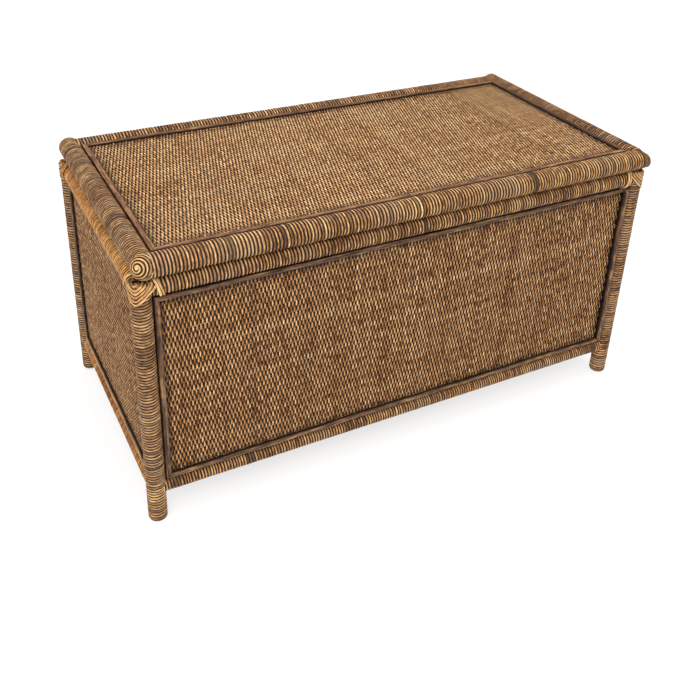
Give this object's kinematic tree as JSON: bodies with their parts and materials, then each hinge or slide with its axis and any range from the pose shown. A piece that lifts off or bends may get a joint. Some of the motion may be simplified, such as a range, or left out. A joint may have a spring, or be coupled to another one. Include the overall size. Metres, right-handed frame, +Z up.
{
  "type": "wicker trunk coffee table",
  "caption": "Rectangular rattan trunk used as a coffee table: cane-bound pole frame on short feet, woven cane panels, hinged lid with battens, butt hinges and a stay cord.",
  "frame": {"origin": "on the floor, midway between the four legs; the lid's front pole sticks out at the right, so the bounding box's centre is 5.6 mm further along +X, and the hinge knuckles put it 2.2 mm further along +Y", "axes": "+X along the table's length, to the right as seen from the front; +Y from the front to the hinge side; +Z up"},
  "size_m": [1.0028, 0.5056, 0.5051],
  "materials": {
    "cane_binding": "antique satin",
    "rattan_pole": "satin",
    "bare_rattan": "satin, dark stained",
    "woven_top": "satin woven cane",
    "woven_side": "satin woven cane",
    "split_cane_bead": "worn satin",
    "stained_plywood": "dark stained",
    "black_hinge": "black, satin",
    "hinge_screw": "black",
    "screw_eye": "plain",
    "stay_cord": "braided"
  },
  "bodies": {
    "box": {"bead_frame_back": "split_cane_bead", "bead_frame_front": "split_cane_bead", "bead_frame_left": "split_cane_bead", "bead_frame_right": "split_cane_bead", "bottom_rail_back": "rattan_pole", "bottom_rail_bindings": "cane_binding", "bottom_rail_front": "rattan_pole", "bottom_rail_left": "rattan_pole", "bottom_rail_right": "rattan_pole", "corner_lashings": "cane_binding", "floor_bearers": "bare_rattan", "floor_panel": "stained_plywood", "hinge_left_box_leaf": "black_hinge", "hinge_left_pin": "black_hinge", "hinge_right_box_leaf": "black_hinge", "hinge_right_pin": "black_hinge", "hinge_screws_box": "hinge_screw", "post_back_left": "rattan_pole", "post_back_right": "rattan_pole", "post_bindings": "cane_binding", "post_front_left": "rattan_pole", "post_front_right": "rattan_pole", "stay_eye_box": "screw_eye", "top_rail_back": "rattan_pole", "top_rail_bindings": "cane_binding", "top_rail_front": "rattan_pole", "top_rail_left": "rattan_pole", "top_rail_right": "rattan_pole", "upright_left": "bare_rattan", "upright_right": "bare_rattan", "uprights_back": "bare_rattan", "uprights_front": "bare_rattan", "wall_back": "stained_plywood", "wall_front": "stained_plywood", "wall_left": "stained_plywood", "wall_right": "stained_plywood", "woven_mat_back": "woven_side", "woven_mat_front": "woven_side", "woven_mat_left": "woven_side", "woven_mat_right": "woven_side"},
    "lid": {"batten_lashings": "cane_binding", "bead_frame_lid": "split_cane_bead", "hinge_left_lid_leaf": "black_hinge", "hinge_right_lid_leaf": "black_hinge", "hinge_screws_lid": "hinge_screw", "lid_batten_left": "bare_rattan", "lid_batten_middle": "bare_rattan", "lid_batten_right": "bare_rattan", "lid_panel": "stained_plywood", "lid_pole_back": "rattan_pole", "lid_pole_bindings": "cane_binding", "lid_pole_front": "rattan_pole", "lid_pole_left": "rattan_pole", "lid_pole_right": "rattan_pole", "stay_eye_lid": "screw_eye", "under_bead_lid": "split_cane_bead", "woven_mat_lid": "woven_top"},
    "stay_lower": {"stay_cord_lower": "stay_cord"},
    "stay_upper": {"stay_cord_upper": "stay_cord"}
  },
  "joints": [
    {"name": "lid_hinge", "type": "hinge", "parent": "box", "child": "lid", "pos_m": [0, 0.252, 0.46642], "axis": [-1, 0, 0], "range_deg": [0, 105]},
    {"name": "stay_lower_pivot", "type": "hinge", "parent": "box", "child": "stay_lower", "pos_m": [0.447, 0.092, 0.4504], "axis": [-1, 0, 0], "range_deg": [0, 152.2]},
    {"name": "stay_upper_pivot", "type": "hinge", "parent": "lid", "child": "stay_upper", "pos_m": [0.444, -0.01, 0.48], "axis": [1, 0, 0], "range_deg": [0, 107.05]}
  ],
  "couplings": [
    {"joint": "stay_lower_pivot", "follows": "lid_hinge", "ratio": 1.4491},
    {"joint": "stay_upper_pivot", "follows": "lid_hinge", "ratio": 1.019}
  ]
}
